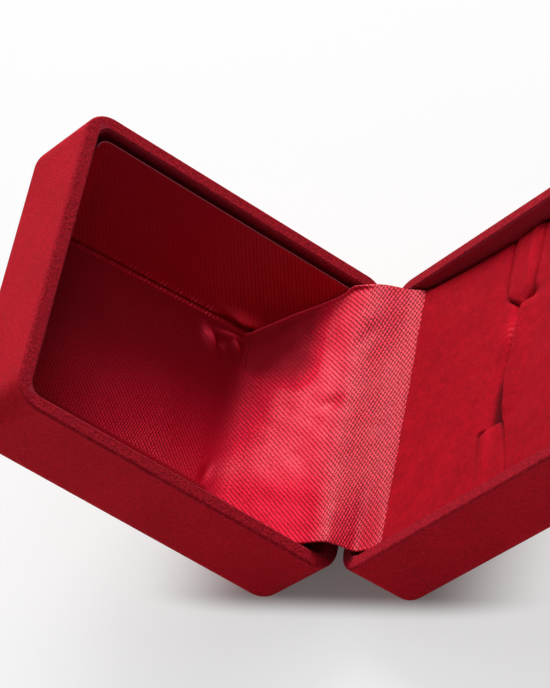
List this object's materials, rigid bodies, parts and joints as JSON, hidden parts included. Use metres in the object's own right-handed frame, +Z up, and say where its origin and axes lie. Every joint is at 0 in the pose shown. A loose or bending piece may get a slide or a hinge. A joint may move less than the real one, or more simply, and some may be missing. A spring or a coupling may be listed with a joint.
{
  "type": "clamshell ring box",
  "caption": "Small flocked clamshell jewellery box, open on a sprung hinge, with a satin-lined lid and a slotted velvet ring insert.",
  "frame": {"origin": "middle of the standing box's outline, on the floor under its two spine edges", "axes": "+Z up, +Y along the hinge, +X towards the half that holds the ring insert; the lid is open at its stop and leans towards -X"},
  "size_m": [0.1228, 0.066, 0.067],
  "materials": {
    "flocked_shell": "short red flock over moulded plastic",
    "insert_velvet": "cut velvet over thin foam",
    "satin": "ribbed satin weave",
    "lining_satin": "ribbed satin on card, with a bare pale cut edge",
    "hinge_steel": "plated strip",
    "spring_strip": "bright strip",
    "insert_card": "folded grey card",
    "ring_foam": "soft open foam"
  },
  "bodies": {
    "base": {"base_shell": "flocked_shell", "base_hinge_leaf": "hinge_steel", "hinge_pin": "hinge_steel", "hinge_spring": "spring_strip", "hinge_satin": "satin", "insert_card": "insert_card", "insert_front_pad": "insert_velvet", "insert_rear_pad": "insert_velvet", "slot_tab_far": "insert_velvet", "slot_tab_near": "insert_velvet", "ring_foam_front": "ring_foam", "ring_foam_rear": "ring_foam"},
    "lid": {"lid_shell": "flocked_shell", "lid_hinge_leaf": "hinge_steel", "lid_lining_ceiling": "satin", "lid_lining_far": "lining_satin", "lid_lining_near": "lining_satin", "lid_lining_front": "lining_satin"}
  },
  "joints": [
    {"name": "lid_hinge", "type": "hinge", "parent": "base", "child": "lid", "pos_m": [-0.00265, 0, 0.01068], "axis": [0, 1, 0], "range_deg": [0, 88], "deforming": ["hinge_satin", "hinge_spring"]}
  ]
}
